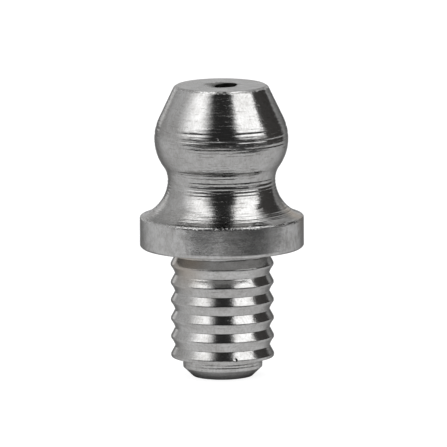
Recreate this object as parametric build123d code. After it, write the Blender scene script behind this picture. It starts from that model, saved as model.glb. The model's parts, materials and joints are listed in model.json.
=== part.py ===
"""Drive-in grease nipple, hydraulic pattern, with a round collar and a ribbed shank.

Millimetres. The origin is the centre of the collar's underside, the face that lies on the
greased housing once the shank is driven home; +Z runs up the axis to the head, which the jaws
of a grease coupler grip. Grease pushes the check ball down off its seat, runs past it and along
the coil spring, and leaves through the rolled-in nose.
"""

import os
from math import atan2, cos, degrees, radians, sin, sqrt, tan

from build123d import *

# Head: a cone above a round, of the diameter that standard couplers grip
head_diameter = 6.5
head_round_radius = 2.33  # of the round that the head is widest on
head_cone_angle = 25.5  # between the crown's side and the axis, in degrees
head_crown_height = 2.61  # from the widest circle up to the top face
top_edge_chamfer = 0.1  # along the top face and along the cone

# Neck, where the coupler's jaws close under the head
neck_diameter = 5.23
neck_fillet_radius = 1.12

# Collar, with a hollow flare up to the neck
collar_diameter = 7.96
collar_side_height = 1.441  # from the underside up to where the top edge starts to round
collar_top_edge_radius = 0.1
collar_foot_chamfer = 0.1
collar_face_clearance = 0.03  # from the rib crests out to where the flat underside begins
flare_radius = 1.88

# Shank: ring-shaped ribs, all alike, that bite into the wall of a drilled hole
rib_diameter = 5.0
rib_root_diameter = 4.58
rib_pitch = 0.886
rib_count = 6
rib_land = 0.1  # width of each rib's flat crest
first_rib_depth = 0.83  # from the collar's underside down to the middle of the first crest
last_rib_foot = 0.11  # from the middle of the last crest down to the step
root_straight = 0.13  # plain root between the collar's root cone and the first rib

# Nose, rolled in over the spring
nose_diameter = 3.86
nose_straight = 0.48
nose_chamfer_height = 0.465
nose_chamfer_angle = 46.5  # between the chamfer and the axis, in degrees
nose_lip_thickness = 0.45  # of the lip that is rolled in under the spring
nose_opening_diameter = 1.9
lip_corner_chamfer = 0.14  # inside, between the lip and the bore

# Inlet: a shallow dished mouth, and a small hole drilled a little off the axis
mouth_diameter = 1.75
mouth_depth = 0.2
inlet_diameter = 1.04
inlet_length = 0.6  # from the top face down to the seat's cone
inlet_offset_x = 0.25
inlet_offset_y = 0.2

# Check valve
ball_diameter = 2.6
ball_bore_clearance = 0.1  # all round the ball
ball_seat_clearance = 0.02
seat_angle = 45  # between the seat's cone and the axis, in degrees

# Spring
spring_wire_diameter = 0.3
spring_bore_clearance = 0.14  # all round the coils
spring_end_clearance = 0.02  # between each end coil and what it bears on
spring_wire_sides = 6  # of the drawn wire's section, few because its coil is long
spring_open_turns = 5
spring_end_pitch = 0.34  # of the closed turn at each end

# Radii that follow
head_r = head_diameter / 2
neck_r = neck_diameter / 2
collar_r = collar_diameter / 2
rib_r = rib_diameter / 2
root_r = rib_root_diameter / 2
nose_r = nose_diameter / 2
opening_r = nose_opening_diameter / 2
mouth_r = mouth_diameter / 2
inlet_r = inlet_diameter / 2
ball_r = ball_diameter / 2
bore_r = ball_r + ball_bore_clearance
wire_r = spring_wire_diameter / 2
coil_r = bore_r - spring_bore_clearance - wire_r


def stacked(below, radius_sum, centre_r):
    """Centre of an arc, at centre_r from the axis, that touches the arc centred below it."""
    sideways = centre_r - below[0]
    return (centre_r, below[1] + sqrt(radius_sum**2 - sideways**2))


def towards(start, end):
    """Direction from one centre to another in the section plane, in degrees."""
    return degrees(atan2(end[1] - start[1], end[0] - start[0]))


def on_circle(centre, radius, angle):
    """Point at an angle, in degrees, on a circle in the section plane."""
    return (
        centre[0] + radius * cos(radians(angle)),
        centre[1] + radius * sin(radians(angle)),
    )


# Arc centres, stacked from the collar up, so that each arc runs smoothly into the next
collar_top_edge_centre = (collar_r - collar_top_edge_radius, collar_side_height)
flare_centre = stacked(
    collar_top_edge_centre, flare_radius + collar_top_edge_radius, neck_r + flare_radius
)
neck_fillet_centre = (neck_r + neck_fillet_radius, flare_centre[1])
head_centre = stacked(
    neck_fillet_centre, neck_fillet_radius + head_round_radius, head_r - head_round_radius
)
top_z = head_centre[1] + head_crown_height

# Heights down the shank and the nose
last_rib_z = -first_rib_depth - (rib_count - 1) * rib_pitch
step_z = last_rib_z - last_rib_foot
nose_chamfer_z = step_z - nose_straight
nose_z = nose_chamfer_z - nose_chamfer_height

# Heights of the valve and its spring
seat_roof_z = top_z - inlet_length
seat_apex_z = seat_roof_z + inlet_r / tan(radians(seat_angle))
ball_z = seat_apex_z - (ball_r + ball_seat_clearance) / sin(radians(seat_angle))
lip_z = nose_z + nose_lip_thickness
spring_foot_z = lip_z + spring_end_clearance + wire_r
spring_head_z = ball_z - sqrt((ball_r + wire_r + spring_end_clearance) ** 2 - coil_r**2)


def rib_outline():
    """Corners of the ribs in the section plane, from the root under the collar to the step."""
    half_pitch = rib_pitch / 2
    half_land = rib_land / 2
    corners = []
    for rib in range(rib_count):
        crest_z = -first_rib_depth - rib * rib_pitch
        corners.append((root_r, crest_z + half_pitch))
        corners.append((rib_r, crest_z + half_land))
        corners.append((rib_r, crest_z - half_land))
    flank_slope = (rib_r - root_r) / (half_pitch - half_land)
    foot_r = rib_r - flank_slope * (last_rib_foot - half_land)
    corners.append((foot_r, step_z))
    return corners


def outer_lines():
    """The outside of the turned body in the section plane, from the axis at the top to the nose."""
    cone_foot = on_circle(head_centre, head_round_radius, head_cone_angle)
    cone_angle = radians(head_cone_angle)
    corner_r = cone_foot[0] - (top_z - cone_foot[1]) * tan(cone_angle)
    flat_r = corner_r - top_edge_chamfer
    cone_head_r = corner_r + top_edge_chamfer * sin(cone_angle)
    cone_head_z = top_z - top_edge_chamfer * cos(cone_angle)

    under_head = towards(head_centre, neck_fillet_centre)
    into_collar = towards(flare_centre, collar_top_edge_centre) % 360
    collar_edge_start = into_collar - 180

    Polyline((0, top_z), (flat_r, top_z), (cone_head_r, cone_head_z), cone_foot)
    CenterArc(head_centre, head_round_radius, under_head, head_cone_angle - under_head)
    CenterArc(neck_fillet_centre, neck_fillet_radius, 180, under_head)
    CenterArc(flare_centre, flare_radius, 180, into_collar - 180)
    CenterArc(collar_top_edge_centre, collar_top_edge_radius, 0, collar_edge_start)
    ribs = rib_outline()
    nose_end_r = nose_r - nose_chamfer_height * tan(radians(nose_chamfer_angle))
    Polyline(
        (collar_r, collar_side_height),
        (collar_r, collar_foot_chamfer),
        (collar_r - collar_foot_chamfer, 0),
        (rib_r + collar_face_clearance, 0),
        (root_r, ribs[0][1] + root_straight),
        *ribs,
        (nose_r, step_z),
        (nose_r, nose_chamfer_z),
        (nose_end_r, nose_z),
        (opening_r, nose_z),
    )


def inner_lines():
    """The bore in the section plane, from the nose's opening up to the axis above the ball."""
    seat_foot_z = seat_apex_z - bore_r / tan(radians(seat_angle))
    Polyline(
        (opening_r, nose_z),
        (opening_r, lip_z),
        (bore_r - lip_corner_chamfer, lip_z),
        (bore_r, lip_z + lip_corner_chamfer),
        (bore_r, seat_foot_z),
        (inlet_r, seat_roof_z),
        (0, seat_roof_z),
        (0, top_z),
    )


def make_body():
    """The turned body, its mouth dished and its inlet drilled."""
    with BuildPart() as body:
        with BuildSketch(Plane.XZ):
            with BuildLine():
                outer_lines()
                inner_lines()
            make_face()
        revolve(axis=Axis.Z)
        with BuildSketch(Plane.XZ):
            with BuildLine():
                Polyline((0, top_z), (mouth_r, top_z), (0, top_z - mouth_depth), close=True)
            make_face()
        revolve(axis=Axis.Z, mode=Mode.SUBTRACT)
        with Locations((inlet_offset_x, inlet_offset_y, ball_z)):
            Cylinder(
                inlet_r,
                top_z - ball_z,
                align=(Align.CENTER, Align.CENTER, Align.MIN),
                mode=Mode.SUBTRACT,
            )
    return body.part


def make_ball():
    """The check ball, held just under its seat."""
    return Pos(0, 0, ball_z) * Sphere(ball_r)


def make_spring():
    """The coil spring: a closed turn at the nose, the open turns, and a closed turn at the ball."""
    open_height = spring_head_z - spring_foot_z - 2 * spring_end_pitch
    open_foot_z = spring_foot_z + spring_end_pitch
    turns = [
        Helix(spring_end_pitch, spring_end_pitch, coil_r, center=(0, 0, spring_foot_z)),
        Helix(open_height / spring_open_turns, open_height, coil_r, center=(0, 0, open_foot_z)),
        Helix(
            spring_end_pitch,
            spring_end_pitch,
            coil_r,
            center=(0, 0, open_foot_z + open_height),
        ),
    ]
    path = Wire(turns)
    section = Plane(origin=path @ 0, z_dir=path % 0) * RegularPolygon(wire_r, spring_wire_sides)
    return sweep(section, path=path, is_frenet=True, transition=Transition.TRANSFORMED)


def main():
    """Writes one STEP file for each piece."""
    os.makedirs("parts", exist_ok=True)
    pieces = {
        "body": make_body(),
        "check_ball": make_ball(),
        "check_spring": make_spring(),
    }
    for name, shape in pieces.items():
        export_step(shape, f"parts/{name}.step")
        print(name, round(shape.volume, 3), "mm3")


main()
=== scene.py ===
"""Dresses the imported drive-in grease nipple: its plated body, the check ball and the spring.

Laid out as an add-on: the sizes and colours are properties, the pieces and the stage have
operators, and a panel in the 3D view's sidebar lists them. All lengths are metres in the part's
own frame.
"""

import json
from collections import namedtuple
from math import atan2, ceil, cos, degrees, pi, radians, sin, sqrt, tan

import bmesh
import bpy
import numpy as np
from bpy.props import FloatProperty, FloatVectorProperty, IntProperty, PointerProperty
from mathutils import Matrix, Vector


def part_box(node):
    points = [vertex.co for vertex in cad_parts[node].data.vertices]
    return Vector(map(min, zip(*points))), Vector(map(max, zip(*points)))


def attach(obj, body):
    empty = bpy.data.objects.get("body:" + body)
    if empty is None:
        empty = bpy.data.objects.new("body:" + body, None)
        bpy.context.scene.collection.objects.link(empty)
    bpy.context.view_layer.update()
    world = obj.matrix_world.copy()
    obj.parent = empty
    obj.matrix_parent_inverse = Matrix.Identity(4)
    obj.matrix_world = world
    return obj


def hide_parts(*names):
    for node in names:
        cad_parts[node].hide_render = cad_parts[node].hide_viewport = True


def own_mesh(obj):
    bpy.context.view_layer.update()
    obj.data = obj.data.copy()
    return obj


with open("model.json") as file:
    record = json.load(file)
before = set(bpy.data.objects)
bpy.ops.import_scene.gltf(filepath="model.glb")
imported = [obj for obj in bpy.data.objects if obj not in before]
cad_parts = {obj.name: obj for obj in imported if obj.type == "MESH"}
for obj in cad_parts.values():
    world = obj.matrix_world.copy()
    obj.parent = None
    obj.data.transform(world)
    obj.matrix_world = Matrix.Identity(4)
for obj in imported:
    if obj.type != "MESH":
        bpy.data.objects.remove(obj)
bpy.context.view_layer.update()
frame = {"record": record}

bl_info = {
    "name": "Grease Nipple",
    "version": (1, 0, 0),
    "blender": (4, 5, 0),
    "location": "View3D > Sidebar > Grease Nipple",
    "description": "Builds the finished pieces of a drive-in grease nipple and its studio stage",
    "category": "Object",
}

MM = 0.001
body_low, body_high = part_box("body")
ball_low, ball_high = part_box("check_ball")
spring_low, spring_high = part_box("check_spring")
ball_radius = (ball_high.x - ball_low.x) / 2
shank = next(m for m in frame["record"]["mounts"] if m["name"] == "shank")


# ---------------------------------------------------------------- sizes and colours


def length(name, description, millimetres):
    """A length property whose default is given in millimetres."""
    return FloatProperty(
        name=name,
        description=description,
        default=millimetres * MM,
        min=0.0,
        precision=6,
        subtype="DISTANCE",
        unit="LENGTH",
    )


def angle(name, description, in_degrees):
    """An angle property whose default is given in degrees."""
    return FloatProperty(
        name=name,
        description=description,
        default=radians(in_degrees),
        subtype="ANGLE",
        unit="ROTATION",
    )


def colour(name, description, value):
    """A linear colour property."""
    return FloatVectorProperty(
        name=name, description=description, default=value, min=0.0, max=1.0, subtype="COLOR"
    )


class NippleBodySizes(bpy.types.PropertyGroup):
    """Section of the turned body."""

    head_diameter: length("Head diameter", "Widest circle of the coupler head", 6.5)
    head_round_radius: length("Head round", "Radius of the round the head is widest on", 2.33)
    head_cone_angle: angle("Head cone angle", "Between the crown's side and the axis", 25.5)
    top_edge_chamfer: length("Top edge", "Chamfer round the top face", 0.1)
    neck_diameter: length("Neck diameter", "Narrowest circle under the head", 5.23)
    neck_fillet_radius: length("Neck fillet", "Radius from the neck up into the head", 1.12)
    flare_radius: length("Flare radius", "Hollow flare from the neck out to the collar", 1.88)
    collar_side_height: length("Collar side", "Underside up to where the top edge rounds", 1.441)
    collar_top_edge_radius: length("Collar top edge", "Round between side and flare", 0.1)
    collar_foot_chamfer: length("Collar foot", "Chamfer at the collar's underside", 0.1)
    rib_root_diameter: length("Rib root diameter", "Bottom of the hollows between the ribs", 4.58)
    rib_pitch: length("Rib pitch", "From one rib to the next", 0.886)
    rib_count: IntProperty(name="Ribs", description="How many ribs grip the hole", default=6, min=1)
    rib_land: length("Rib land", "Width of a rib's crest before its edges are broken", 0.1)
    rib_hollow: length("Rib hollow", "How far a rib's lower side is hollowed", 0.022)
    first_rib_depth: length("First rib depth", "Underside down to the first crest", 0.83)
    last_rib_foot: length("Last rib foot", "Last crest down to the step", 0.11)
    root_straight: length("Root straight", "Plain root above the first rib", 0.13)
    nose_diameter: length("Nose diameter", "The plain end below the ribs", 3.86)
    nose_straight: length("Nose straight", "Height of the nose's straight wall", 0.48)
    nose_chamfer_height: length("Nose chamfer", "Height of the chamfer at the tip", 0.465)
    nose_chamfer_angle: angle("Nose chamfer angle", "Between the chamfer and the axis", 46.5)
    nose_lip_thickness: length("Nose lip", "Thickness of the rolled-in lip", 0.45)
    nose_opening_diameter: length("Nose opening", "Hole left by the rolled-in lip", 1.9)
    mouth_diameter: length("Mouth diameter", "Shallow dish in the top face", 1.75)
    mouth_depth: length("Mouth depth", "Depth of the dish at the axis", 0.2)
    inlet_diameter: length("Inlet diameter", "Small hole that the grease enters by", 1.04)
    inlet_length: length("Inlet length", "Top face down to the valve seat", 0.6)
    inlet_offset: FloatVectorProperty(
        name="Inlet offset",
        description="How far the hole lies off the axis",
        default=(0.25 * MM, 0.2 * MM),
        size=2,
        precision=6,
        unit="LENGTH",
    )
    bore_clearance: length("Bore clearance", "Gap all round the check ball", 0.1)
    edge_break: length("Edge break", "How far each sharp corner is rounded back", 0.035)
    mark_depth: length("Turning mark depth", "Depth of the marks left by the tool", 0.018)
    mark_pitch: length("Turning mark pitch", "Spacing of the marks along the section", 0.13)
    segments: IntProperty(name="Segments", description="Faces round the body", default=120, min=24)


class NippleSpringSizes(bpy.types.PropertyGroup):
    """The coil spring under the ball."""

    wire_diameter: length("Wire diameter", "Of the drawn wire", 0.3)
    end_pitch: length("End pitch", "Rise of the closed turn at each end", 0.34)
    open_turns: FloatProperty(
        name="Open turns", description="Turns between the two closed ends", default=5.0, min=1.0
    )
    steps_per_turn: IntProperty(
        name="Steps per turn", description="Points of the wire in one turn", default=48, min=12
    )
    wire_sides: IntProperty(
        name="Wire sides", description="Faces round the wire", default=16, min=6
    )


class NippleFinishes(bpy.types.PropertyGroup):
    """Colours of the three metals."""

    plating: colour("Plating", "Bright zinc over turned steel", (0.545, 0.544, 0.542))
    tarnish: colour("Tarnish", "Dulled, slightly warm plating", (0.345, 0.338, 0.328))
    # Painted reflection: a faint brown tint in two soft spots, under the collar at the left and on
    # the flare at the right
    warm_reflection: colour("Warm_reflection", "Faint brown bloom on the plating", (0.43, 0.39, 0.345))
    # Painted shade: near black in the inlet hole and on the valve seat, and darker across the mouth
    # towards the hole
    grease: colour("Grease", "Dark grease film in the inlet", (0.03, 0.029, 0.027))
    ball_steel: colour("Ball steel", "Polished bearing steel", (0.45, 0.45, 0.455))
    spring_steel: colour("Spring steel", "Drawn spring wire", (0.26, 0.26, 0.265))


class NippleStage(bpy.types.PropertyGroup):
    """Camera, floor and light."""

    camera_distance: length("Camera distance", "From the object's middle", 900.0)
    view_width: length("View width", "What the picture shows from side to side", 21.67)
    camera_elevation: angle("Camera elevation", "Above the horizon", 9.2)
    camera_lean: angle("Camera lean", "The object leans this much to the left", 0.37)
    aim_side: length("Aim side", "Picture's middle, right of the axis", 0.073)
    aim_height: length("Aim height", "Picture's middle above the collar's underside", 1.115)
    floor_front: length("Floor front", "How far the floor reaches in front on the left", 35.0)
    floor_point: length("Floor point", "How far it reaches in front in the middle", 46.0)
    floor_right: length("Floor right", "How far it reaches to the right", 60.0)
    floor_turn: angle("Floor turn", "Way that its edge at the front right runs to", 42.0)
    floor_reach: length("Floor reach", "How far it reaches to the left and back", 400.0)
    card_distance: length("Card distance", "From the object to the cards round it", 250.0)
    world_level: FloatProperty(
        name="World level", description="Light on matt surfaces, 1 is white", default=0.6, min=0.0
    )


# ---------------------------------------------------------------- node helpers


def connect(tree, value, socket):
    """Links a socket to the input, or sets the input to a plain value."""
    if isinstance(value, bpy.types.NodeSocket):
        tree.links.new(value, socket)
    else:
        socket.default_value = value


def add(tree, kind, values=None, **settings):
    """Adds a node with its settings, then fills its inputs by name or number."""
    made = tree.nodes.new(kind)
    for name, value in settings.items():
        setattr(made, name, value)
    for key, value in (values or {}).items():
        connect(tree, value, made.inputs[key])
    return made


def calc(tree, operation, *values):
    """Output of a Math node."""
    return add(tree, "ShaderNodeMath", dict(enumerate(values)), operation=operation).outputs[0]


def vector_calc(tree, operation, *values):
    """Vector output of a Vector Math node, or the length where that is asked for."""
    keys = (0, "Scale") if operation == "SCALE" else range(len(values))
    made = add(tree, "ShaderNodeVectorMath", dict(zip(keys, values)), operation=operation)
    return made.outputs["Value" if operation == "LENGTH" else "Vector"]


def combine(tree, x, y, z):
    """Vector made of three numbers."""
    return add(tree, "ShaderNodeCombineXYZ", {"X": x, "Y": y, "Z": z}).outputs[0]


def flattened(tree, position):
    """The way from the axis straight out to a position."""
    return vector_calc(tree, "MULTIPLY", position, (1.0, 1.0, 0.0))


def axis_distance(tree, position):
    """How far a position lies from the axis."""
    return vector_calc(tree, "LENGTH", flattened(tree, position))


def weighted(tree, total, effects, weights):
    """A value to which each effect that has a weight is added, times its weight."""
    for name, weight in weights.items():
        total = calc(tree, "MULTIPLY_ADD", effects[name], weight, total)
    return total


def ramp(tree, value, low, high, to_low=0.0, to_high=1.0, smooth=True):
    """A value mapped from one range to another, and held at its ends."""
    kind = "SMOOTHSTEP" if smooth else "LINEAR"
    values = {"Value": value, 1: low, 2: high, 3: to_low, 4: to_high}
    return add(tree, "ShaderNodeMapRange", values, interpolation_type=kind).outputs[0]


def noise(tree, vector, detail=2.0, roughness=0.5):
    """Noise from 0 to 1 at a vector whose unit is one feature."""
    values = {"Vector": vector, "Scale": 1.0, "Detail": detail, "Roughness": roughness}
    return add(tree, "ShaderNodeTexNoise", values).outputs[0]


def new_group(name, kind, inputs, outputs):
    """A node group, its sockets given as names with their kinds, and what its end nodes hold."""
    tree = bpy.data.node_groups.new(name, kind)
    for direction, sockets in (("INPUT", inputs), ("OUTPUT", outputs)):
        for socket_name, socket_kind in sockets.items():
            socket_type = f"NodeSocket{socket_kind}"
            tree.interface.new_socket(socket_name, in_out=direction, socket_type=socket_type)
    return tree, tree.nodes.new("NodeGroupInput").outputs, tree.nodes.new("NodeGroupOutput").inputs


def new_object(name, data):
    """An object with this mesh, lamp or camera, placed in the scene."""
    obj = bpy.data.objects.new(name, data)
    bpy.context.scene.collection.objects.link(obj)
    return obj


def apply_tree(name, mesh, tree, values):
    """Runs a geometry tree on a mesh and returns its result as a plain mesh object."""
    obj = new_object(name, mesh)
    modifier = obj.modifiers.new("build", "NODES")
    modifier.node_group = tree
    for item in tree.interface.items_tree:
        if item.in_out == "INPUT" and item.name in values:
            modifier[item.identifier] = values[item.name]
    graph = bpy.context.evaluated_depsgraph_get()
    result = bpy.data.meshes.new_from_object(obj.evaluated_get(graph), depsgraph=graph)
    obj.modifiers.remove(modifier)
    obj.data = result
    result.name = name
    return obj


# ---------------------------------------------------------------- shader groups


STREAK_SHARE = (0.7, 0.7, 0.31)  # of the marks' own spacing, for the wider streaks among them
PATCH_RANGE = (0.35, 0.7)  # of the noise, over which a patch comes in
NICK_RANGE = (0.5, 0.66)  # the same for a nick
NICK_FADE = (0.3, 1.0)  # shares of the width between which nicks die away


def turning_marks_group():
    """Fine lines that run round the axis: long that way, close together along the section."""
    inputs = {"Along": "Float", "Position": "Vector", "Pitch": "Float", "Waves Round": "Float"}
    outputs = {"Height": "Float", "Shade": "Float"}
    tree, given, result = new_group("turning_marks", "ShaderNodeTree", inputs, outputs)
    outward = vector_calc(tree, "NORMALIZE", flattened(tree, given["Position"]))
    around = vector_calc(tree, "SCALE", outward, given["Waves Round"])
    lines = calc(tree, "DIVIDE", given["Along"], given["Pitch"])
    place = vector_calc(tree, "ADD", around, combine(tree, 0.0, 0.0, lines))
    connect(tree, noise(tree, place, 3.0, 0.6), result["Height"])
    wide = vector_calc(tree, "MULTIPLY", place, STREAK_SHARE)
    connect(tree, noise(tree, wide), result["Shade"])
    return tree


def patches_group():
    """Uneven patches, for tarnish, for how dull the metal is, and for grain."""
    inputs = {"Position": "Vector", "Size": "Float", "Stretch": "Float"}
    tree, given, result = new_group("patches", "ShaderNodeTree", inputs, {"Mask": "Float"})
    share = calc(tree, "DIVIDE", 1.0, given["Size"])
    upright = combine(tree, share, share, calc(tree, "DIVIDE", share, given["Stretch"]))
    place = vector_calc(tree, "MULTIPLY", given["Position"], upright)
    connect(tree, ramp(tree, noise(tree, place, 3.0, 0.55), *PATCH_RANGE), result["Mask"])
    return tree


def spot_group():
    """A soft round spot at a given place, for dents and painted warm reflections."""
    inputs = {"Position": "Vector", "Place": "Vector", "Radius": "Float"}
    tree, given, result = new_group("spot", "ShaderNodeTree", inputs, {"Mask": "Float"})
    away = vector_calc(tree, "SUBTRACT", given["Position"], given["Place"])
    away = calc(tree, "DIVIDE", vector_calc(tree, "LENGTH", away), given["Radius"])
    connect(tree, ramp(tree, away, 0.0, 1.0, 1.0, 0.0), result["Mask"])
    return tree


def nicked_ring_group():
    """Small nicks along a circular edge round the axis."""
    inputs = {"Position": "Vector"}
    inputs |= {"Ring Radius": "Float", "Ring Height": "Float", "Width": "Float"}
    tree, given, result = new_group("nicked_ring", "ShaderNodeTree", inputs, {"Height": "Float"})
    reach = axis_distance(tree, given["Position"])
    outward = calc(tree, "SUBTRACT", reach, given["Ring Radius"])
    parts = add(tree, "ShaderNodeSeparateXYZ", {0: given["Position"]}).outputs
    upward = calc(tree, "SUBTRACT", parts["Z"], given["Ring Height"])
    away = vector_calc(tree, "LENGTH", combine(tree, outward, upward, 0.0))
    near = ramp(tree, calc(tree, "DIVIDE", away, given["Width"]), *NICK_FADE, 1.0, 0.0)
    share = calc(tree, "DIVIDE", 1.0, given["Width"])
    place = vector_calc(tree, "SCALE", given["Position"], share)
    nicks = ramp(tree, noise(tree, place), *NICK_RANGE)
    connect(tree, calc(tree, "MULTIPLY", nicks, near), result["Height"])
    return tree


def group_node(tree, group, values):
    """Outputs of a node group, placed in a material with its own values."""
    return add(tree, "ShaderNodeGroup", values, node_tree=group).outputs


def mark_outputs(tree, marks, along, position, pitch, waves):
    """Outputs of turning marks at this spacing, with this many waves in a turn."""
    values = {"Along": along, "Position": position, "Pitch": pitch, "Waves Round": waves}
    return group_node(tree, marks, values)


def patch_mask(tree, patches, position, size, stretch):
    """Mask of patches of this size, this many times taller than wide."""
    values = {"Position": position, "Size": size, "Stretch": stretch}
    return group_node(tree, patches, values)["Mask"]


def nick_height(tree, nicked_ring, position, edge):
    """Height of the nicks along one listed edge."""
    values = {"Position": position, "Ring Radius": edge.reach, "Ring Height": edge.height}
    return group_node(tree, nicked_ring, values | {"Width": edge.width})["Height"]


def spot_mask(tree, spot, position, place):
    """Mask of one listed spot."""
    turn, reach = radians(place.turn), place.reach * MM
    centre = (reach * sin(turn), -reach * cos(turn), place.height * MM)
    values = {"Position": position, "Place": centre, "Radius": place.radius * MM}
    return group_node(tree, spot, values)["Mask"]


def new_material(name):
    """An empty node material, with its tree and its output node."""
    material = bpy.data.materials.new(name)
    material.use_nodes = True
    tree = material.node_tree
    tree.nodes.clear()
    return material, tree, tree.nodes.new("ShaderNodeOutputMaterial")


MARK_HEIGHT = 0.002 * MM  # of the finest turning marks
EDGE_TINT = (0.3, 0.3, 0.3, 1.0)  # holds back the metal's brightness where it is seen edge on


def bumped(tree, height, unit=1.0):
    """The normal of a surface that stands out by a height, given in this unit of length."""
    values = {"Strength": 1.0, "Distance": unit, "Height": height}
    return add(tree, "ShaderNodeBump", values).outputs[0]


def metal(tree, output, base, roughness, normal=None):
    """A metallic Principled shader."""
    values = {"Metallic": 1.0, "Specular Tint": EDGE_TINT}
    values |= {"Base Color": base, "Roughness": roughness}
    if normal is not None:
        values["Normal"] = normal
    shader = add(tree, "ShaderNodeBsdfPrincipled", values)
    connect(tree, shader.outputs[0], output.inputs["Surface"])


def mix_colour(tree, share, first, second):
    """Two colours mixed."""
    values = {"Factor": share, 6: first, 7: second}
    return add(tree, "ShaderNodeMix", values, data_type="RGBA").outputs[2]


def mix_shaders(tree, output, share, first, second):
    """Shows two shaders mixed."""
    mixed = add(tree, "ShaderNodeMixShader", {0: share, 1: first.outputs[0], 2: second.outputs[0]})
    connect(tree, mixed.outputs[0], output.inputs["Surface"])


# Spots on the plating: degrees round from the front, then in millimetres the distance from the
# axis, the height, the radius and, for a dent, its depth
Spot = namedtuple("Spot", "turn reach height radius depth", defaults=[0.0])
DENTS = [
    Spot(-3.4, 3.2, 5.74, 0.09, 0.016),
    Spot(45.3, 2.9, 6.79, 0.08, 0.014),
    Spot(14.6, 2.46, -5.2, 0.12, 0.03),
]
# Two spots of painted warm reflection, a faint brown tint
WARM_REFLECTIONS = [Spot(-50, 2.4, -0.6, 1.7), Spot(80, 3.6, 1.7, 1.3)]
WARM_REFLECTION_SHARE = 0.9
# Edges with nicks: distance from the axis, height, width and depth
Edge = namedtuple("Edge", "reach height width depth")
NICKED_EDGES = [
    Edge(2.26 * MM, body_high.z - 0.05 * MM, 0.11 * MM, 0.02 * MM),
    Edge(3.94 * MM, 1.5 * MM, 0.12 * MM, 0.02 * MM),
    Edge(0.88 * MM, body_high.z - 0.01 * MM, 0.14 * MM, 0.015 * MM),
]
# Turning marks in the plating: spacing along the section, and waves in one turn
FINE_MARKS = (0.035 * MM, 2.5)
COARSE_MARKS = (0.13 * MM, 6.0)
SCORES = (0.07 * MM, 4.5)
SCORE_RANGE = (0.6, 0.68)  # of their noise, over which they cut in
STREAK_RANGE = (0.3, 0.7)  # of the coarse marks' shade, over which streaks come in
# Patches in the plating: their size, and how much taller than wide they are
TARNISH_PATCHES = (1.6 * MM, 1.0)
GRAIN_PATCHES = (0.09 * MM, 1.8)
MOTTLE_PATCHES = (0.26 * MM, 1.5)  # on the collar's side
SHANK_RANGE = (0.0, -0.2 * MM)  # heights over which the shank's finish comes in
SIDE_RANGE = (body_high.x - 0.08 * MM, body_high.x - 0.02 * MM)  # the same outwards on the collar
# What each effect adds to the surface's height, in mark heights. Those that the tool cuts fade
# where the section's rows carry less of its marks.
CUT_RELIEF = {"coarse": 3.5, "scores": -1.1}
GRAIN_RELIEF = (0.2, 0.4)  # above the collar's underside, and on the shank
MOTTLE_RELIEF = 0.5
# What each effect adds to how tarnished the plating is, and to how dull
TARNISHED = {
    "streaks": 0.3,
    "patches": 0.35,
    "mottle": 0.4,
    "collar_side": -0.35,
    "grain": 0.35,
    "cut_scores": 0.6,
}
BRIGHTEST, STREAKED = 0.085, 0.14  # roughness between the streaks and in them
# Where the mouth and the inlet are painted dark as shade, the metal is also rougher
DULLED = {"patches": 0.05, "grease": 0.3, "collar_side": 0.02, "mottle": 0.05, "shank": 0.03}


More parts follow.
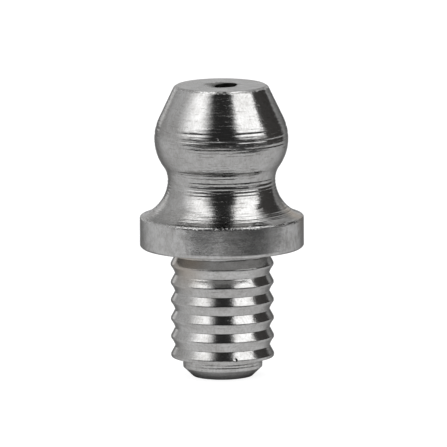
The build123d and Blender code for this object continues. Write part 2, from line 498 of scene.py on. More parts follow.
def plated_steel(finishes, marks, patches, spot, nicked_ring):
    """Bright plating over turning marks, a little tarnished in patches, painted dark as shade in
    the inlet, with two painted warm reflections.
    """
    material, tree, output = new_material("plated_steel")
    position = add(tree, "ShaderNodeTexCoord").outputs["Object"]
    # grease is the share of painted shade, near black, in the mouth and the inlet
    along, strength, grease = (
        add(tree, "ShaderNodeAttribute", attribute_name=name).outputs["Fac"]
        for name in ("along", "marks", "grease")
    )
    level = add(tree, "ShaderNodeSeparateXYZ", {0: position}).outputs["Z"]
    effects = {"grease": grease, "shank": ramp(tree, level, *SHANK_RANGE)}
    effects["collar_side"] = ramp(tree, axis_distance(tree, position), *SIDE_RANGE)

    fine, coarse, scores = (
        mark_outputs(tree, marks, along, position, *kind)
        for kind in (FINE_MARKS, COARSE_MARKS, SCORES)
    )
    effects["patches"], effects["grain"], mottle = (
        patch_mask(tree, patches, position, *kind)
        for kind in (TARNISH_PATCHES, GRAIN_PATCHES, MOTTLE_PATCHES)
    )
    effects["mottle"] = calc(tree, "MULTIPLY", mottle, effects["collar_side"])
    effects["coarse"] = coarse["Height"]
    effects["scores"] = ramp(tree, scores["Height"], *SCORE_RANGE)
    effects["cut_scores"] = calc(tree, "MULTIPLY", effects["scores"], strength)
    effects["streaks"] = ramp(tree, coarse["Shade"], *STREAK_RANGE)

    height = weighted(tree, fine["Height"], effects, CUT_RELIEF)
    height = calc(tree, "MULTIPLY", height, strength)
    grain_relief = ramp(tree, effects["shank"], 0.0, 1.0, *GRAIN_RELIEF)
    relief = {"grain": grain_relief, "mottle": MOTTLE_RELIEF}
    height = calc(tree, "MULTIPLY", weighted(tree, height, effects, relief), MARK_HEIGHT)
    for place in DENTS:
        sunk = spot_mask(tree, spot, position, place)
        height = calc(tree, "MULTIPLY_ADD", sunk, -place.depth * MM, height)
    for edge in NICKED_EDGES:
        nicked = nick_height(tree, nicked_ring, position, edge)
        height = calc(tree, "MULTIPLY_ADD", nicked, -edge.depth, height)

    share = weighted(tree, 0.0, effects, TARNISHED)
    base = mix_colour(tree, share, (*finishes.plating, 1.0), (*finishes.tarnish, 1.0))
    # Painted reflection: a faint brown tint mixed in at each listed spot
    for place in WARM_REFLECTIONS:
        warm_share = calc(tree, "MULTIPLY", spot_mask(tree, spot, position, place), WARM_REFLECTION_SHARE)
        base = mix_colour(tree, warm_share, base, (*finishes.warm_reflection, 1.0))
    # Painted shade: near black in the inlet, and darker across the mouth towards it
    base = mix_colour(tree, grease, base, (*finishes.grease, 1.0))
    roughness = ramp(tree, effects["streaks"], 0.0, 1.0, BRIGHTEST, STREAKED, smooth=False)
    roughness = weighted(tree, roughness, effects, DULLED)
    metal(tree, output, base, roughness, bumped(tree, height))
    return material


HAZE_PATCHES = (0.7 * MM, 1.0)
HAZED = (0.06, 0.14)  # the ball's roughness
WIRE_MARKS = (0.06, 3.0)  # spacing in turns round the wire, and waves in one turn of the coil
WIRE_PATCHES = (0.5 * MM, 1.0)
WIRE_DULL = (0.25, 0.4)  # the wire's roughness


def ball_steel(finishes, patches):
    """Polished bearing steel with faint handling haze."""
    material, tree, output = new_material("ball_steel")
    position = add(tree, "ShaderNodeTexCoord").outputs["Object"]
    haze = patch_mask(tree, patches, position, *HAZE_PATCHES)
    metal(tree, output, (*finishes.ball_steel, 1.0), ramp(tree, haze, 0.0, 1.0, *HAZED))
    return material


def spring_steel(finishes, marks, patches):
    """Drawn wire: lines run along the wire."""
    material, tree, output = new_material("spring_steel")
    position = add(tree, "ShaderNodeTexCoord").outputs["Object"]
    across = add(tree, "ShaderNodeAttribute", attribute_name="across").outputs["Fac"]
    drawn = mark_outputs(tree, marks, across, position, *WIRE_MARKS)["Height"]
    dull = patch_mask(tree, patches, position, *WIRE_PATCHES)
    roughness = ramp(tree, dull, 0.0, 1.0, *WIRE_DULL)
    bump = bumped(tree, drawn, MARK_HEIGHT)
    metal(tree, output, (*finishes.spring_steel, 1.0), roughness, bump)
    return material


# ---------------------------------------------------------------- the body's section


TURNED_STEP = 0.025 * MM  # between rows on the head, neck and flare
PLAIN_STEP = 0.06 * MM  # between rows on the rest of the outside
HIDDEN_STEP = 0.2 * MM  # between rows in the bore
BORE_MARGIN = 1.2 * MM  # how far above the lip the rows of the bore begin
CORNER_LIMIT = 0.4  # the most of a straight run that the rounding of its corner takes
CORNER_SHARES = (0.0, 0.25, 0.5, 0.75)  # where a rounded corner has its points
HOLLOW_SHARES = (0.2, 0.4, 0.6, 0.8)  # where a rib's hollow side has them
MOUTH_SHARES = np.linspace(0.1, 0.95, 14)  # where the mouth has its rows, from its rim inwards
HOLE_SHARES = np.linspace(0.2, 1.0, 5)  # the same down the inlet hole
SEAT_SHARES = np.linspace(0.1, 1.0, 10)  # the same out along the valve seat
# How much of the turning marks each part of the section carries
MARKED = {
    "bore": 0.5,
    "nose": 1.0,
    "ribs": 0.45,
    "under_collar": 0.5,
    "collar": 0.12,
    "collar_edge": 0.4,
    "turned": 1.0,
    "cone": 0.8,
    "top": 0.4,
    "mouth": 0.3,
    "inlet": 0.2,
}
OUTSIDE = 1.8 * MM  # rows farther out than this lie on the body's outside
# Deeper lines that the tool left there, in millimetres: height above the collar's underside, depth
# and half width
TOOL_LINES = {
    "head": [
        (6.86, 0.003, 0.03),
        (6.62, 0.003, 0.03),
        (6.27, 0.006, 0.035),
        (6.12, 0.003, 0.03),
        (5.93, 0.015, 0.06),
        (5.79, 0.003, 0.03),
        (5.57, 0.015, 0.05),
        (5.42, 0.002, 0.03),
        (5.24, 0.005, 0.035),
        (5.10, 0.004, 0.035),
        (4.93, 0.003, 0.035),
        (4.75, 0.002, 0.03),
    ],
    "neck and flare": [
        (3.98, 0.001, 0.06),
        (3.83, 0.004, 0.03),
        (3.68, 0.010, 0.035),
        (3.50, 0.014, 0.04),
        (3.33, 0.014, 0.04),
        (3.13, 0.016, 0.045),
        (2.98, 0.012, 0.04),
        (2.83, 0.006, 0.035),
        (2.44, 0.003, 0.035),
        (2.06, 0.008, 0.035),
        (1.96, 0.018, 0.03),
        (1.885, 0.012, 0.03),
        (1.81, 0.03, 0.028),
        (1.745, 0.02, 0.026),
        (1.69, 0.036, 0.026),
        (1.635, 0.024, 0.024),
        (1.585, 0.03, 0.022),
    ],
    "shank": [(-0.07, 0.012, 0.03), (-0.17, 0.012, 0.03)],
    "nose": [(-5.52, 0.008, 0.04), (-5.66, 0.006, 0.04), (-5.8, 0.008, 0.04)],
}


# A row of the body's closed section, which becomes a circle: its radius and height, how much of
# the turning marks it carries, how dark it is painted as shade in the inlet, how far its centre has
# moved from the axis to the inlet hole, and whether its height is measured from the dished mouth or
# from the valve seat
Row = namedtuple("Row", "radius height marks grease inlet mouth seat")
# A corner of the section, with the marks and the spacing of rows on the straight run up to it
Corner = namedtuple("Corner", "radius height marks step")


def straight(start, end, step):
    """Points from start up to, and without, end."""
    count = max(1, ceil((Vector(end) - Vector(start)).length / step))
    return [tuple(Vector(start).lerp(Vector(end), n / count)) for n in range(count)]


def arc(centre, radius, start, end, step):
    """Points on an arc of the section, both ends included, angles in degrees."""
    count = max(2, ceil(abs(radians(end - start)) * radius / step))
    turns = [radians(start + (end - start) * n / count) for n in range(count + 1)]
    return [(centre[0] + radius * cos(t), centre[1] + radius * sin(t)) for t in turns]


class Section:
    """Rows of the body's closed section, in order."""

    def __init__(self):
        self.rows = []

    def add(self, points, marks, grease=0.0, inlet=0.0, mouth=0.0, seat=0.0):
        """Adds rows that share the same values, leaving out a point that repeats the last one."""
        for radius, height in points:
            row = Row(radius, height, marks, grease, inlet, mouth, seat)
            if not self.rows or self.rows[-1]._replace(marks=marks) != row:
                self.rows.append(row)

    def add_runs(self, corners, edge_break):
        """Adds straight runs from corner to corner, each corner between the ends rounded back."""
        places = [Vector(corner[:2]) for corner in corners]
        last = places[0]
        for before, here, after, corner in zip(places, places[1:], places[2:], corners[1:]):
            shorter = min((here - before).length, (after - here).length)
            cut = min(edge_break, CORNER_LIMIT * shorter)
            start = here + (before - here).normalized() * cut
            end = here + (after - here).normalized() * cut
            self.add(straight(last, start, corner.step), corner.marks)
            for share in CORNER_SHARES:
                rounded = start.lerp(here, share).lerp(here.lerp(end, share), share)
                self.add([tuple(rounded)], corner.marks)
            last = end
        run = straight(last, places[-1], corners[-1].step)
        self.add(run + [tuple(places[-1])], corners[-1].marks)


def stacked(below, radius_sum, centre_r):
    """Centre of an arc, at centre_r from the axis, that touches the arc centred below it."""
    return (centre_r, below[1] + sqrt(radius_sum**2 - (centre_r - below[0]) ** 2))


def towards(start, end):
    """Direction from one centre to another in the section plane, in degrees."""
    return degrees(atan2(end[1] - start[1], end[0] - start[0]))


def hollow(start, end, depth):
    """Points between start and end of a line going out and up, sunk to its left by up to depth."""
    run = Vector(end) - Vector(start)
    inward = Vector((-run.y, run.x)).normalized() * depth
    return [tuple(Vector(start) + run * t + inward * 4 * t * (1 - t)) for t in HOLLOW_SHARES]


def shank_corners(sizes, nose_z, lip_z, bore_r):
    """Corners from the bore round the nose and up the ribs to the collar's side."""
    rib_r = shank["dims"]["r_mm"] * MM
    root_r = sizes.rib_root_diameter / 2
    nose_r = sizes.nose_diameter / 2
    opening_r = sizes.nose_opening_diameter / 2
    collar_r = body_high.x
    chamfer_z = nose_z + sizes.nose_chamfer_height
    step_z = chamfer_z + sizes.nose_straight
    tip_r = nose_r - sizes.nose_chamfer_height * tan(sizes.nose_chamfer_angle)
    half_pitch = sizes.rib_pitch / 2
    half_land = sizes.rib_land / 2
    slope = (rib_r - root_r) / (half_pitch - half_land)
    inside = [(bore_r, lip_z + BORE_MARGIN), (bore_r, lip_z)]
    inside += [(opening_r, lip_z), (opening_r, nose_z)]
    nose = [(tip_r, nose_z), (nose_r, chamfer_z), (nose_r, step_z)]
    ribs = [(rib_r - slope * (sizes.last_rib_foot - half_land), step_z)]
    for rib in reversed(range(sizes.rib_count)):
        crest_z = -sizes.first_rib_depth - rib * sizes.rib_pitch
        crest_foot = (rib_r, crest_z - half_land)
        if rib < sizes.rib_count - 1:
            ribs += hollow(ribs[-1], crest_foot, sizes.rib_hollow)
        ribs += [crest_foot, (rib_r, crest_z + half_land)]
        ribs.append((root_r, crest_z + half_pitch))
    under_collar = [(root_r, ribs[-1][1] + sizes.root_straight), (rib_r, 0.0)]
    collar = [
        (collar_r - sizes.collar_foot_chamfer, 0.0),
        (collar_r, sizes.collar_foot_chamfer),
        (collar_r, sizes.collar_side_height),
    ]
    parts = [
        (inside, "bore", HIDDEN_STEP),
        (nose, "nose", TURNED_STEP),
        (ribs, "ribs", PLAIN_STEP),
        (under_collar, "under_collar", PLAIN_STEP),
        (collar, "collar", PLAIN_STEP),
    ]
    return [Corner(*place, MARKED[part], step) for places, part, step in parts for place in places]


def body_section(sizes):
    """All rows of the closed section, from the bore out round the nose and back in by the mouth."""
    top_z, nose_z = body_high.z, body_low.z
    lip_z = nose_z + sizes.nose_lip_thickness
    bore_r = ball_radius + sizes.bore_clearance
    inlet_r = sizes.inlet_diameter / 2
    mouth_r = sizes.mouth_diameter / 2
    edge = sizes.edge_break
    section = Section()

    corners = shank_corners(sizes, nose_z, lip_z, bore_r)
    section.add_runs(corners, edge)

    top_edge_r = sizes.collar_top_edge_radius
    top_edge = (body_high.x - top_edge_r, sizes.collar_side_height)
    neck_r = sizes.neck_diameter / 2
    round_r, fillet_r = sizes.head_round_radius, sizes.neck_fillet_radius
    flare_r = sizes.flare_radius
    flare = stacked(top_edge, flare_r + top_edge_r, neck_r + flare_r)
    fillet = (neck_r + fillet_r, flare[1])
    head = stacked(fillet, fillet_r + round_r, sizes.head_diameter / 2 - round_r)
    into_collar = towards(flare, top_edge) % 360
    under_head = towards(head, fillet)
    cone = degrees(sizes.head_cone_angle)
    edge_arc = arc(top_edge, top_edge_r, 0, into_collar - 180, TURNED_STEP)
    section.add(edge_arc, MARKED["collar_edge"])
    section.add(arc(flare, flare_r, into_collar, 180, TURNED_STEP), MARKED["turned"])
    section.add(arc(fillet, fillet_r, 180, under_head + 180, TURNED_STEP), MARKED["turned"])
    section.add(arc(head, round_r, under_head, cone, TURNED_STEP), MARKED["turned"])

    foot_r, foot_z = section.rows[-1][:2]
    corner_r = foot_r - (top_z - foot_z) * tan(sizes.head_cone_angle)
    chamfer = sizes.top_edge_chamfer
    chamfer_foot = (
        corner_r + chamfer * sin(sizes.head_cone_angle),
        top_z - chamfer * cos(sizes.head_cone_angle),
    )
    crown = [
        Corner(foot_r, foot_z, MARKED["cone"], TURNED_STEP),
        Corner(*chamfer_foot, MARKED["cone"], TURNED_STEP),
        Corner(corner_r - chamfer, top_z, MARKED["top"], TURNED_STEP),
        Corner(mouth_r, top_z, MARKED["top"], PLAIN_STEP),
    ]
    section.add_runs(crown, edge)

    rim = mouth_r - inlet_r
    section.add([(mouth_r - edge, 0.0)], MARKED["mouth"], mouth=1.0)
    # Painted shade: darker across the mouth towards the hole, and near black down the hole and on
    # the seat
    for share in MOUTH_SHARES:
        place = (mouth_r - rim * share, 0.0)
        section.add([place], MARKED["mouth"], share**3, inlet=share, mouth=1.0)
    at_hole = {"marks": MARKED["inlet"], "grease": 1.0, "inlet": 1.0}
    section.add([(inlet_r + edge / 2, 0.0)], mouth=1.0, **at_hole)
    section.add([(inlet_r + edge / 8, -edge / 8), (inlet_r, -edge / 2)], mouth=1.0, **at_hole)
    for share in HOLE_SHARES:
        section.add([(inlet_r, 0.0)], mouth=1.0 - share, seat=share, **at_hole)
    for share in SEAT_SHARES:
        radius = inlet_r + (bore_r - inlet_r) * share
        section.add([(radius, 0.0)], MARKED["inlet"], 1.0, inlet=1.0 - share, seat=1.0)
    seat_foot_z = top_z - sizes.inlet_length - (bore_r - inlet_r)
    bore = straight((bore_r, seat_foot_z - edge), corners[0][:2], HIDDEN_STEP)
    section.add(bore, MARKED["bore"])
    return section.rows


def section_mesh(rows):
    """A mesh of loose points, one for each row, that carries the rows' values as attributes."""
    values = np.array(rows, dtype=np.float32)
    for height, depth, half_width in sum(TOOL_LINES.values(), []):
        closeness = (values[:, 1] - height * MM) / (half_width * MM)
        outside = values[:, 0] > OUTSIDE
        values[:, 0] -= outside * (depth * MM) * np.exp(-(closeness**2))
    mesh = bpy.data.meshes.new("body_section")
    mesh.from_pydata([(r, 0.0, z) for r, z in values[:, :2].tolist()], [], [])
    steps = np.linalg.norm(np.diff(values[:, :2], axis=0), axis=1)
    named = dict(zip(Row._fields[2:], values[:, 2:].T))
    named["along"] = np.concatenate([[0.0], np.cumsum(steps)])
    for name, column in named.items():
        attribute = mesh.attributes.new(name, "FLOAT", "POINT")
        attribute.data.foreach_set("value", column.astype(np.float32))
    return mesh


# ---------------------------------------------------------------- geometry trees


SEAM_GAP = 1e-7  # points of the lathe's seam that lie closer than this become one
CUT_WAVES = 1.5  # waves in one turn of the marks that are cut into the surface


def carried(tree, name):
    """A value that the geometry carries under this name."""
    value = add(tree, "GeometryNodeInputNamedAttribute", {"Name": name}, data_type="FLOAT")
    return value.outputs[0]


def sampled(tree, section, name, row):
    """A value of the section's row, read by its number."""
    values = {"Geometry": section, "Value": carried(tree, name), "Index": row}
    return add(tree, "GeometryNodeSampleIndex", values, data_type="FLOAT").outputs[0]


def stored(tree, geometry, name, value):
    """Geometry that carries a value under this name."""
    values = {"Geometry": geometry, "Name": name, "Value": value}
    kind = {"data_type": "FLOAT", "domain": "POINT"}
    return add(tree, "GeometryNodeStoreNamedAttribute", values, **kind).outputs["Geometry"]


def finish_tree(tree, geometry, material, result):
    """Shades the geometry smooth, makes it real and gives it its material."""
    smooth = add(tree, "GeometryNodeSetShadeSmooth", {"Geometry": geometry}).outputs[0]
    real = add(tree, "GeometryNodeRealizeInstances", {"Geometry": smooth}).outputs[0]
    values = {"Geometry": real, "Material": material}
    connect(tree, add(tree, "GeometryNodeSetMaterial", values).outputs[0], result)


def lathe_tree():
    """Turns the section round the axis, lets the mouth run over to the inlet hole, and cuts the
    turning marks into the surface."""
    inputs = {
        "Section": "Geometry",
        "Segments": "Int",
        "Top Height": "Float",
        "Mouth Radius": "Float",
        "Mouth Depth": "Float",
        "Seat Height": "Float",
        "Inlet Radius": "Float",
        "Inlet Offset": "Vector",
        "Mark Depth": "Float",
        "Mark Pitch": "Float",
        "Material": "Material",
    }
    outputs = {"Body": "Geometry"}
    tree, given, result = new_group("turned_body", "GeometryNodeTree", inputs, outputs)
    section = given["Section"]

    size = add(tree, "GeometryNodeAttributeDomainSize", {"Geometry": section})
    rows = size.outputs["Point Count"]
    columns = calc(tree, "ADD", given["Segments"], 1)
    grid_rows = calc(tree, "ADD", rows, 1)
    grid = add(tree, "GeometryNodeMeshGrid", {"Vertices X": columns, "Vertices Y": grid_rows})
    index = add(tree, "GeometryNodeInputIndex").outputs[0]
    row = calc(tree, "MODULO", calc(tree, "MODULO", index, grid_rows), rows)
    column = calc(tree, "FLOOR", calc(tree, "DIVIDE", index, grid_rows))
    turn = calc(tree, "MULTIPLY", calc(tree, "DIVIDE", column, given["Segments"]), 2 * pi)

    position = add(tree, "GeometryNodeInputPosition").outputs[0]
    values = {"Geometry": section, "Value": position, "Index": row}
    place = add(tree, "GeometryNodeSampleIndex", values, data_type="FLOAT_VECTOR").outputs[0]
    place = add(tree, "ShaderNodeSeparateXYZ", {0: place}).outputs
    outward = combine(tree, calc(tree, "COSINE", turn), calc(tree, "SINE", turn), 0.0)
    share = sampled(tree, section, "inlet", row)
    moved = vector_calc(tree, "SCALE", given["Inlet Offset"], share)
    flat = vector_calc(tree, "ADD", vector_calc(tree, "SCALE", outward, place["X"]), moved)
    reach = vector_calc(tree, "LENGTH", flat)

    dish = calc(tree, "MINIMUM", calc(tree, "DIVIDE", reach, given["Mouth Radius"]), 1.0)
    dish = calc(tree, "MULTIPLY", calc(tree, "SUBTRACT", 1.0, dish), given["Mouth Depth"])
    mouth_z = calc(tree, "SUBTRACT", given["Top Height"], dish)
    fall = calc(tree, "MAXIMUM", calc(tree, "SUBTRACT", reach, given["Inlet Radius"]), 0.0)
    seat_z = calc(tree, "SUBTRACT", given["Seat Height"], fall)
    mouth_z = calc(tree, "MULTIPLY", mouth_z, sampled(tree, section, "mouth", row))
    seat_z = calc(tree, "MULTIPLY", seat_z, sampled(tree, section, "seat", row))
    height = calc(tree, "ADD", place["Z"], calc(tree, "ADD", mouth_z, seat_z))
    spot = vector_calc(tree, "ADD", flat, combine(tree, 0.0, 0.0, height))

    body = grid.outputs["Mesh"]
    # grease carries the share of painted shade in the mouth and the inlet
    for name in ("along", "marks", "grease"):
        body = stored(tree, body, name, sampled(tree, section, name, row))
    turned = add(tree, "GeometryNodeSetPosition", {"Geometry": body, "Position": spot})
    values = {"Geometry": turned.outputs[0], "Distance": SEAM_GAP}
    closed = add(tree, "GeometryNodeMergeByDistance", values).outputs[0]

    around = vector_calc(tree, "NORMALIZE", flattened(tree, position))
    around = vector_calc(tree, "SCALE", around, CUT_WAVES)
    lines = calc(tree, "DIVIDE", carried(tree, "along"), given["Mark Pitch"])
    wave = noise(tree, vector_calc(tree, "ADD", around, combine(tree, 0.0, 0.0, lines)))
    depth = calc(tree, "MULTIPLY", calc(tree, "SUBTRACT", wave, 0.5), given["Mark Depth"])
    depth = calc(tree, "MULTIPLY", depth, carried(tree, "marks"))
    normal = add(tree, "GeometryNodeInputNormal").outputs["Normal"]
    values = {"Geometry": closed, "Offset": vector_calc(tree, "SCALE", normal, depth)}
    marked = add(tree, "GeometryNodeSetPosition", values).outputs[0]
    finish_tree(tree, marked, given["Material"], result["Body"])
    return tree


def coil_tree():
    """Bends a line into the spring: a closed turn, the open turns, a closed turn."""
    inputs = {
        "Line": "Geometry",
        "Coil Radius": "Float",
        "Foot Height": "Float",
        "Head Height": "Float",
        "End Pitch": "Float",
        "Open Turns": "Float",
        "Wire Radius": "Float",
        "Steps": "Int",
        "Wire Sides": "Int",
        "Material": "Material",
    }
    outputs = {"Spring": "Geometry"}
    tree, given, result = new_group("coil_spring", "GeometryNodeTree", inputs, outputs)
    line = add(tree, "GeometryNodeCurvePrimitiveLine")
    values = {"Curve": line.outputs[0], "Count": given["Steps"]}
    path = add(tree, "GeometryNodeResampleCurve", values).outputs[0]
    share = add(tree, "GeometryNodeSplineParameter").outputs["Factor"]
    turns = calc(tree, "ADD", given["Open Turns"], 2.0)
    turn = calc(tree, "MULTIPLY", share, turns)
    whole = calc(tree, "SUBTRACT", given["Head Height"], given["Foot Height"])
    open_height = calc(tree, "SUBTRACT", whole, calc(tree, "MULTIPLY", given["End Pitch"], 2.0))
    last_turn = calc(tree, "SUBTRACT", turns, 1.0)
    foot = ramp(tree, turn, 0.0, 1.0, 0.0, given["End Pitch"], smooth=False)
    middle = ramp(tree, turn, 1.0, last_turn, 0.0, open_height, smooth=False)
    head = ramp(tree, turn, last_turn, turns, 0.0, given["End Pitch"], smooth=False)
    rise = calc(tree, "ADD", calc(tree, "ADD", foot, middle), head)
    height = calc(tree, "ADD", rise, given["Foot Height"])
    swing = calc(tree, "MULTIPLY", turn, 2 * pi)
    x = calc(tree, "MULTIPLY", calc(tree, "COSINE", swing), given["Coil Radius"])
    y = calc(tree, "MULTIPLY", calc(tree, "SINE", swing), given["Coil Radius"])
    values = {"Geometry": path, "Position": combine(tree, x, y, height)}
    coil = add(tree, "GeometryNodeSetPosition", values).outputs[0]
    values = {"Resolution": given["Wire Sides"], "Radius": given["Wire Radius"]}
    wire = add(tree, "GeometryNodeCurvePrimitiveCircle", values).outputs[0]
    place = add(tree, "GeometryNodeSplineParameter").outputs["Factor"]
    wire = stored(tree, wire, "across", place)
    values = {"Curve": coil, "Profile Curve": wire, "Fill Caps": True}
    swept = add(tree, "GeometryNodeCurveToMesh", values).outputs[0]
    finish_tree(tree, swept, given["Material"], result["Spring"])
    return tree


# ---------------------------------------------------------------- the pieces


def make_body(sizes, material):
    """The turned body, from the top face's dished mouth to the rolled-in nose."""
    values = {
        "Segments": sizes.segments,
        "Top Height": body_high.z,
        "Mouth Radius": sizes.mouth_diameter / 2,
        "Mouth Depth": sizes.mouth_depth,
        "Seat Height": body_high.z - sizes.inlet_length,
        "Inlet Radius": sizes.inlet_diameter / 2,
        "Inlet Offset": (*sizes.inlet_offset, 0.0),
        "Mark Depth": sizes.mark_depth,
        "Mark Pitch": sizes.mark_pitch,
        "Material": material,
    }
    return apply_tree("turned_body", section_mesh(body_section(sizes)), lathe_tree(), values)


def make_ball(material):
    """The check ball, at the place of its solid."""
    place = Matrix.Translation((Vector(ball_low) + Vector(ball_high)) / 2)
    mesh = bpy.data.meshes.new("polished_ball")
    work = bmesh.new()
    bmesh.ops.create_icosphere(work, subdivisions=6, radius=ball_radius, matrix=place)
    for face in work.faces:
        face.smooth = True
    work.to_mesh(mesh)
    work.free()
    mesh.materials.append(material)
    return new_object("polished_ball", mesh)


def make_spring(sizes, material):
    """The coil spring, within the height and width of its solid."""
    wire_r = sizes.wire_diameter / 2
    values = {
        "Coil Radius": spring_high.x - wire_r,
        "Foot Height": spring_low.z + wire_r,
        "Head Height": spring_high.z - wire_r,
        "End Pitch": sizes.end_pitch,
        "Open Turns": sizes.open_turns,
        "Wire Radius": wire_r,
        "Steps": int(sizes.steps_per_turn * (sizes.open_turns + 2)) + 1,
        "Wire Sides": sizes.wire_sides,
        "Material": material,
    }
    empty = bpy.data.meshes.new("spring_line")
    return apply_tree("coil_spring", empty, coil_tree(), values)


# ---------------------------------------------------------------- the stage

# Cards that the metal mirrors. Each lies at a share of the card distance, glows this strongly in
# this colour, and fades over these spans at its left, right, low and high edge. Seen from the
# object, it lies between two azimuths (0 towards the camera, right is positive) and two elevations.
# A tent goes up over the object instead: its foot lies between two sideways shares of the distance,
# it runs between two angles from the camera's side up over the top, and it narrows to a point.
Card = namedtuple("Card", "across up distance strength tint fade tent", defaults=[False])
TENT_POINT = 0.03  # width left at a tent's far end
WHITE = (1.0, 1.0, 1.0, 1.0)
BROWNISH = (1.0, 0.95, 0.92, 1.0)
CARDS = {
    "low_flag": Card((27, 60), (-25, 0), 0.88, 0.09, WHITE, (8, 12, 1, 3)),
    "low_strip": Card((-60, 74), (-25, 1), 0.90, 0.12, WHITE, (12, 14, 1, 3)),
    "front_strip": Card((-76, 86), (-6, 8), 0.87, 0.06, WHITE, (10, 6, 3, 3)),
    "right_flag": Card((82, 150), (-9, 54), 0.94, 0.075, BROWNISH, (5, 12, 4, 10)),
    "low_right": Card((60, 180), (-25, 3), 0.955, 0.28, WHITE, (0, 0, 0, 0)),
    "right_end": Card((131, 162), (-20, 24), 0.93, 0.6, WHITE, (6, 8, 3, 8)),
    "tent_flag": Card((-0.24, 0.34), (58, 136), 0.94, 0.03, WHITE, (0.06, 0.06, 12, 4), True),
    "right_softbox": Card((25, 116), (5, 88), 1.00, 2.0, WHITE, (14, 20, 26, 3)),
    "left_softbox": Card((-100, -16), (5, 88), 1.00, 1.95, WHITE, (46, 32, 26, 3)),
    "back_right_softbox": Card((92, 180), (54, 89), 1.02, 2.2, WHITE, (10, 0, 8, 0)),
    "back_left_softbox": Card((180, 268), (54, 89), 1.02, 2.2, WHITE, (0, 10, 8, 0)),
    "back_strip": Card((135, 225), (1, 26), 1.02, 1.9, WHITE, (12, 12, 3, 10)),
    "front_wall": Card((-60, 60), (2, 89), 1.03, 0.033, WHITE, (0, 0, 1, 0)),
    "room": Card((-180, 180), (-25, 89.5), 1.05, 0.67, WHITE, (0, 0, 0, 0)),
}


def card_way(card, across, up):
    """Direction from the object to a place on a card."""
    if card.tent:
        narrowed = across * np.interp(up, card.up, (1.0, TENT_POINT))
        rest = sqrt(1 - narrowed**2)
        return Vector((narrowed, -rest * cos(radians(up)), rest * sin(radians(up))))
    level = cos(radians(up))
    return Vector((sin(radians(across)) * level, -cos(radians(across)) * level, sin(radians(up))))


def curved_card(name, card, distance, centre):
    """A card bent round the object, with a UV map across it."""
    columns, rows = 36, 24
    points, uvs, faces = [], [], []
    for row in range(rows + 1):
        up = np.interp(row, (0, rows), card.up)
        for column in range(columns + 1):
            across = np.interp(column, (0, columns), card.across)
            points.append(centre + card_way(card, across, up) * distance * card.distance)
            uvs.append((column / columns, row / rows))
    for row in range(rows):
        for column in range(columns):
            first = row * (columns + 1) + column
            faces.append((first, first + 1, first + columns + 2, first + columns + 1))
    mesh = bpy.data.meshes.new(name)
    mesh.from_pydata(points, [], faces)
    layer = mesh.uv_layers.new(name="UVMap")
    for loop in mesh.loops:
        layer.data[loop.index].uv = uvs[loop.vertex_index]
    mesh.materials.append(card_material(name, card))
    obj = new_object(name, mesh)
    obj.visible_camera = False


def card_material(name, card):
    """A card that glows evenly and fades out at its edges."""
    material, tree, output = new_material(name)
    uv = add(tree, "ShaderNodeUVMap", uv_map="UVMap").outputs[0]
    place = add(tree, "ShaderNodeSeparateXYZ", {0: uv}).outputs
    wide = card.across[1] - card.across[0]
    high = card.up[1] - card.up[0]
    mask = 1.0
    for axis, far, span, fade in zip("XXYY", (0, 1, 0, 1), (wide, wide, high, high), card.fade):
        if fade:
            inward = calc(tree, "SUBTRACT", 1.0, place[axis]) if far else place[axis]
            mask = calc(tree, "MULTIPLY", mask, ramp(tree, inward, 0.0, fade / span))
    glow = add(tree, "ShaderNodeEmission", {"Color": card.tint, "Strength": card.strength})
    mix_shaders(tree, output, mask, add(tree, "ShaderNodeBsdfTransparent"), glow)
    return material


def seen_directly(tree):
    """1 for camera, glossy and transmission rays, else 0."""
    path = add(tree, "ShaderNodeLightPath").outputs
    seen = calc(tree, "ADD", path["Is Camera Ray"], path["Is Glossy Ray"])
    seen = calc(tree, "ADD", seen, path["Is Transmission Ray"])
    return calc(tree, "MINIMUM", seen, 1.0)


FLOOR_GREY = (0.28, 0.28, 0.28, 1.0)
FLOOR_GAP = 0.01 * MM  # below the nose, so that no two faces lie in one place
FLOOR_HOLE = 1.4 * MM  # radius of an opening under the nose, by which light enters the bore
FLOOR_SEEN = 0.85  # own light to the camera and through clear things
FLOOR_LENT = 0.6  # own light on matt surfaces, as much as a white sheet throws back
FLOOR_MIRRORED = 0.46  # own light in the metal
FLOOR_MIRRORED_NEAR = 0.61  # the same close round the nose
FLOOR_NEAR = (4.0 * MM, 10.0 * MM)  # distances between which the one runs over into the other
FLOOR_SHADE = (1.42 * MM, 2.2 * MM)  # nearer than these the metal mirrors the floor dark
FLOOR_POINT_SIDE = -2.0 * MM  # where the front edge's point lies, right of the axis
FLOOR_POINT_LEFT = -22.0 * MM  # where the edge starts to run out to the point


def floor_material():
    """Pale with a little of its own light, and clear from below so that the nose shows."""
    material, tree, output = new_material("floor_white")
    matt = add(tree, "ShaderNodeBsdfDiffuse", {"Color": FLOOR_GREY})
    reach = axis_distance(tree, add(tree, "ShaderNodeTexCoord").outputs["Object"])
    mirrored = ramp(tree, reach, *FLOOR_NEAR, FLOOR_MIRRORED_NEAR, FLOOR_MIRRORED)
    mirrored = calc(tree, "MULTIPLY", mirrored, ramp(tree, reach, *FLOOR_SHADE))
    path = add(tree, "ShaderNodeLightPath").outputs
    shares = {"Is Glossy Ray": mirrored, "Is Diffuse Ray": FLOOR_LENT}
    shares |= {"Is Camera Ray": FLOOR_SEEN, "Is Transmission Ray": FLOOR_SEEN}
    glow = add(tree, "ShaderNodeEmission", {"Strength": weighted(tree, 0.0, path, shares)})
    lit = add(tree, "ShaderNodeAddShader", {0: matt.outputs[0], 1: glow.outputs[0]})
    back = add(tree, "ShaderNodeNewGeometry").outputs["Backfacing"]
    opened = calc(tree, "MAXIMUM", back, calc(tree, "LESS_THAN", reach, FLOOR_HOLE))
    mix_shaders(tree, output, opened, lit, add(tree, "ShaderNodeBsdfTransparent"))
    return material


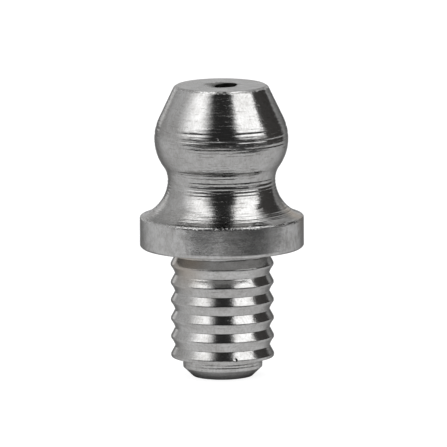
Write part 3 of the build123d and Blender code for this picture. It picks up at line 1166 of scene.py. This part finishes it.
def make_floor(stage):
    """A pale sheet under the nose. Its front edge runs out to a point before the object."""
    reach, right = stage.floor_reach, stage.floor_right
    point = Vector((FLOOR_POINT_SIDE, -stage.floor_point))
    corners = [
        (-reach, -stage.floor_front),
        (FLOOR_POINT_LEFT, -stage.floor_front),
        tuple(point),
        (right, point.y + (right - point.x) * tan(stage.floor_turn)),
        (right, reach),
        (-reach, reach),
    ]
    height = body_low.z - FLOOR_GAP
    mesh = bpy.data.meshes.new("floor")
    mesh.from_pydata([(x, y, height) for x, y in corners], [], [range(len(corners))])
    mesh.materials.append(floor_material())
    floor = new_object("floor", mesh)


def make_world(level):
    """White to the camera and in what mirrors it, and lower on matt surfaces."""
    world = bpy.data.worlds.new("studio")
    world.use_nodes = True
    tree = world.node_tree
    tree.nodes.clear()
    strength = ramp(tree, seen_directly(tree), 0.0, 1.0, level, 1.0, smooth=False)
    background = add(tree, "ShaderNodeBackground", {"Strength": strength, "Color": WHITE})
    add(tree, "ShaderNodeOutputWorld", {"Surface": background.outputs[0]})
    bpy.context.scene.world = world


def make_camera(stage):
    """A long lens from the front, slightly above."""
    data = bpy.data.cameras.new("camera")
    data.sensor_width = 36.0
    data.lens = data.sensor_width * stage.camera_distance / stage.view_width
    data.clip_start, data.clip_end = 0.05, 10.0
    camera = new_object("camera", data)
    up = stage.camera_elevation
    turn = Matrix.Rotation(pi / 2 - up, 4, "X") @ Matrix.Rotation(-stage.camera_lean, 4, "Z")
    aim = turn @ Vector((stage.aim_side, stage.aim_height, 0.0))
    back = turn @ Vector((0.0, 0.0, stage.camera_distance))
    camera.matrix_world = Matrix.Translation(aim + back) @ turn
    bpy.context.scene.camera = camera


LAMP_PLACE = (-0.063, -0.174, 0.075)  # inside the cards, at the front left
LAMP_WIDTH = 0.1
LAMP_WATTS = 0.12


def make_lamp():
    """A soft lamp for matt surfaces. The metal doesn't mirror it."""
    data = bpy.data.lights.new("front_lamp", "AREA")
    data.shape = "DISK"
    data.size = LAMP_WIDTH
    data.energy = LAMP_WATTS
    lamp = new_object("front_lamp", data)
    lamp.location = LAMP_PLACE
    lamp.rotation_euler = (-lamp.location).to_track_quat("-Z", "Y").to_euler()
    lamp.visible_glossy = False
    lamp.visible_camera = False


# ---------------------------------------------------------------- operators and panel


class NIPPLE_OT_turned_body(bpy.types.Operator):
    """Build the turned and plated body"""

    bl_idname = "nipple.turned_body"
    bl_label = "Turned body"

    def execute(self, context):
        """Makes the body and lets it stand for its solid."""
        groups = turning_marks_group(), patches_group(), spot_group(), nicked_ring_group()
        material = plated_steel(context.scene.nipple_finishes, *groups)
        body = make_body(context.scene.nipple_body, material)
        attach(body, "fitting")
        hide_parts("body")
        return {"FINISHED"}


class NIPPLE_OT_check_valve(bpy.types.Operator):
    """Build the check ball and the coil spring under it"""

    bl_idname = "nipple.check_valve"
    bl_label = "Check ball and spring"

    def execute(self, context):
        """Makes the ball, which moves, and the spring under it."""
        finishes = context.scene.nipple_finishes
        marks, patches = bpy.data.node_groups["turning_marks"], bpy.data.node_groups["patches"]
        ball = make_ball(ball_steel(finishes, patches))
        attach(ball, "ball")
        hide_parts("check_ball")

        material = spring_steel(finishes, marks, patches)
        spring = make_spring(context.scene.nipple_spring, material)
        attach(spring, "fitting")
        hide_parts("check_spring")
        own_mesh(spring)
        return {"FINISHED"}


class NIPPLE_OT_stage(bpy.types.Operator):
    """Build the floor, the cards, the light and the camera"""

    bl_idname = "nipple.stage"
    bl_label = "Stage"

    def execute(self, context):
        """Sets up everything round the object."""
        stage = context.scene.nipple_stage
        middle = Vector((0.0, 0.0, (body_low.z + body_high.z) / 2))
        for name, card in CARDS.items():
            curved_card(name, card, stage.card_distance, middle)
        make_floor(stage)
        make_world(stage.world_level)
        make_lamp()
        make_camera(stage)
        context.scene.view_settings.view_transform = "Standard"
        return {"FINISHED"}


class NIPPLE_PT_panel(bpy.types.Panel):
    """Sizes, colours and the steps that build the nipple"""

    bl_idname = "NIPPLE_PT_panel"
    bl_label = "Grease Nipple"
    bl_space_type = "VIEW_3D"
    bl_region_type = "UI"
    bl_category = "Grease Nipple"

    def draw(self, context):
        """Lists each group of properties above the operator that uses it."""
        for title, group, operator in STEPS:
            box = self.layout.box()
            box.label(text=title)
            settings = getattr(context.scene, group)
            for name in settings.bl_rna.properties.keys():
                if name not in ("rna_type", "name"):
                    box.prop(settings, name)
            if operator:
                box.operator(operator)


GROUPS = {
    "nipple_finishes": NippleFinishes,
    "nipple_body": NippleBodySizes,
    "nipple_spring": NippleSpringSizes,
    "nipple_stage": NippleStage,
}
STEPS = [
    ("Metals", "nipple_finishes", ""),
    ("Body", "nipple_body", "nipple.turned_body"),
    ("Valve", "nipple_spring", "nipple.check_valve"),
    ("Stage", "nipple_stage", "nipple.stage"),
]
OPERATORS = [NIPPLE_OT_turned_body, NIPPLE_OT_check_valve, NIPPLE_OT_stage]


def register():
    """Registers the property groups, the operators and the panel."""
    for name, group in GROUPS.items():
        bpy.utils.register_class(group)
        setattr(bpy.types.Scene, name, PointerProperty(type=group))
    for kind in (*OPERATORS, NIPPLE_PT_panel):
        bpy.utils.register_class(kind)


def unregister():
    """Takes them away again."""
    for kind in (NIPPLE_PT_panel, *reversed(OPERATORS)):
        bpy.utils.unregister_class(kind)
    for name, group in GROUPS.items():
        delattr(bpy.types.Scene, name)
        bpy.utils.unregister_class(group)


def main():
    """Builds everything in order."""
    register()
    bpy.ops.nipple.turned_body()
    bpy.ops.nipple.check_valve()
    bpy.ops.nipple.stage()


if __name__ == "__main__":
    main()
